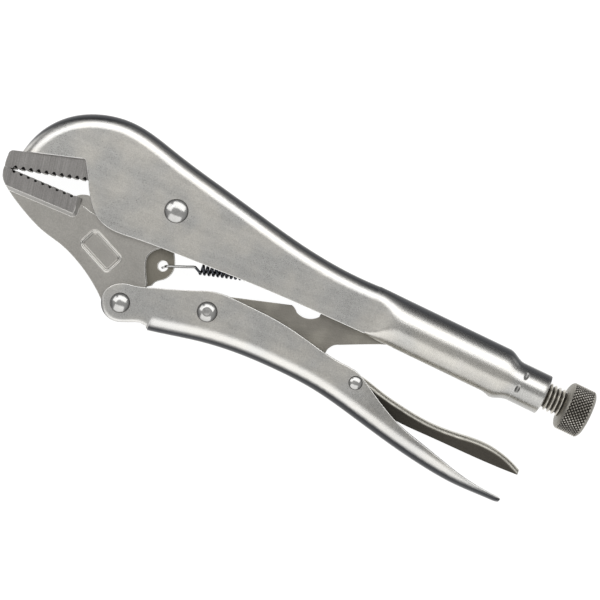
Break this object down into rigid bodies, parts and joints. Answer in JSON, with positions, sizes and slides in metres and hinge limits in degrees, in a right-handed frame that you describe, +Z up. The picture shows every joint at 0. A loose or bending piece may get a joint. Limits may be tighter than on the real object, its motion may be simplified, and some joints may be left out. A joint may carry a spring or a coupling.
{
  "type": "locking pliers",
  "caption": "Locking pliers in folded nickel-plated steel: toothed jaws, over-centre lower handle, release lever and a knurled adjusting screw.",
  "frame": {"origin": "under the middle of the closed tool, on the surface that it lies on", "axes": "+X from the jaws to the knob along the adjusting screw, +Y from the lower handle to the spine of the frame, +Z up through the sheet metal as the tool lies on its side"},
  "size_m": [0.253, 0.0745, 0.0202],
  "materials": {
    "nickel_sheet": "satin nickel plate over folded sheet steel",
    "forged_jaw": "nickel-plated forging, toothed block ground across",
    "bare_steel": "tumbled steel with a thin plate",
    "dark_sheet": "dark oiled sheet steel with a bright bend",
    "polished_rivet": "polished bright rivet heads",
    "plated_screw": "plated turned steel with a diamond knurl",
    "spring_wire": "dark oiled spring wire"
  },
  "bodies": {
    "frame": {"frame": "nickel_sheet", "fixed_jaw": "forged_jaw", "return_spring": "spring_wire"},
    "jaw_pin": {"jaw_pivot_rivet": "polished_rivet"},
    "movable_jaw": {"movable_jaw": "forged_jaw"},
    "lever_pin": {"lever_pivot_rivet": "polished_rivet"},
    "lever": {"lower_handle": "nickel_sheet", "toggle_rivet": "polished_rivet", "release_rivet": "polished_rivet"},
    "toggle_link": {"toggle_link": "bare_steel"},
    "release_lever": {"release_lever": "dark_sheet"},
    "screw_nose": {"screw_nose": "plated_screw"},
    "adjusting_screw": {"adjusting_screw": "plated_screw"}
  },
  "joints": [
    {"name": "screw_travel", "type": "slide", "parent": "frame", "child": "screw_nose", "axis": [1, 0, 0], "range_m": [0, 0.02722]},
    {"name": "screw_turn", "type": "hinge", "parent": "screw_nose", "child": "adjusting_screw", "pos_m": [0.05963, 0.01102, 0.0101], "axis": [1, 0, 0], "range_deg": [0, 5401]},
    {"name": "jaw_adjust", "type": "hinge", "parent": "frame", "child": "jaw_pin", "pos_m": [-0.05637, 0.01342, 0.0101], "axis": [0, 0, 1], "range_deg": [0, 32.65], "deforming": ["return_spring"]},
    {"name": "jaw_swing", "type": "hinge", "parent": "jaw_pin", "child": "movable_jaw", "pos_m": [-0.05637, 0.01342, 0.0101], "axis": [0, 0, 1], "range_deg": [0, 16.81]},
    {"name": "handle_adjust", "type": "hinge", "parent": "movable_jaw", "child": "lever_pin", "pos_m": [-0.06077, -0.02898, 0.0101], "axis": [0, 0, -1], "range_deg": [0, 36.74]},
    {"name": "handle_swing", "type": "hinge", "parent": "lever_pin", "child": "lever", "pos_m": [-0.06077, -0.02898, 0.0101], "axis": [0, 0, -1], "range_deg": [0, 60]},
    {"name": "toggle_swing", "type": "hinge", "parent": "lever", "child": "toggle_link", "pos_m": [-0.02807, -0.01728, 0.0101], "axis": [0, 0, 1], "range_deg": [0, 62.65]},
    {"name": "release_press", "type": "hinge", "parent": "lever", "child": "release_lever", "pos_m": [0.03713, -0.01718, 0.0101], "axis": [0, 0, -1], "range_deg": [0, 8]}
  ],
  "couplings": [
    {"joint": "screw_travel", "follows": "jaw_adjust", "m_per_rad": 0.047746},
    {"joint": "screw_turn", "follows": "jaw_adjust", "ratio": 165.38},
    {"joint": "handle_adjust", "follows": "jaw_adjust", "ratio": 1.125},
    {"joint": "jaw_swing", "follows": "handle_swing", "ratio": 0.28},
    {"joint": "toggle_swing", "follows": "handle_swing", "ratio": 1.044}
  ]
}
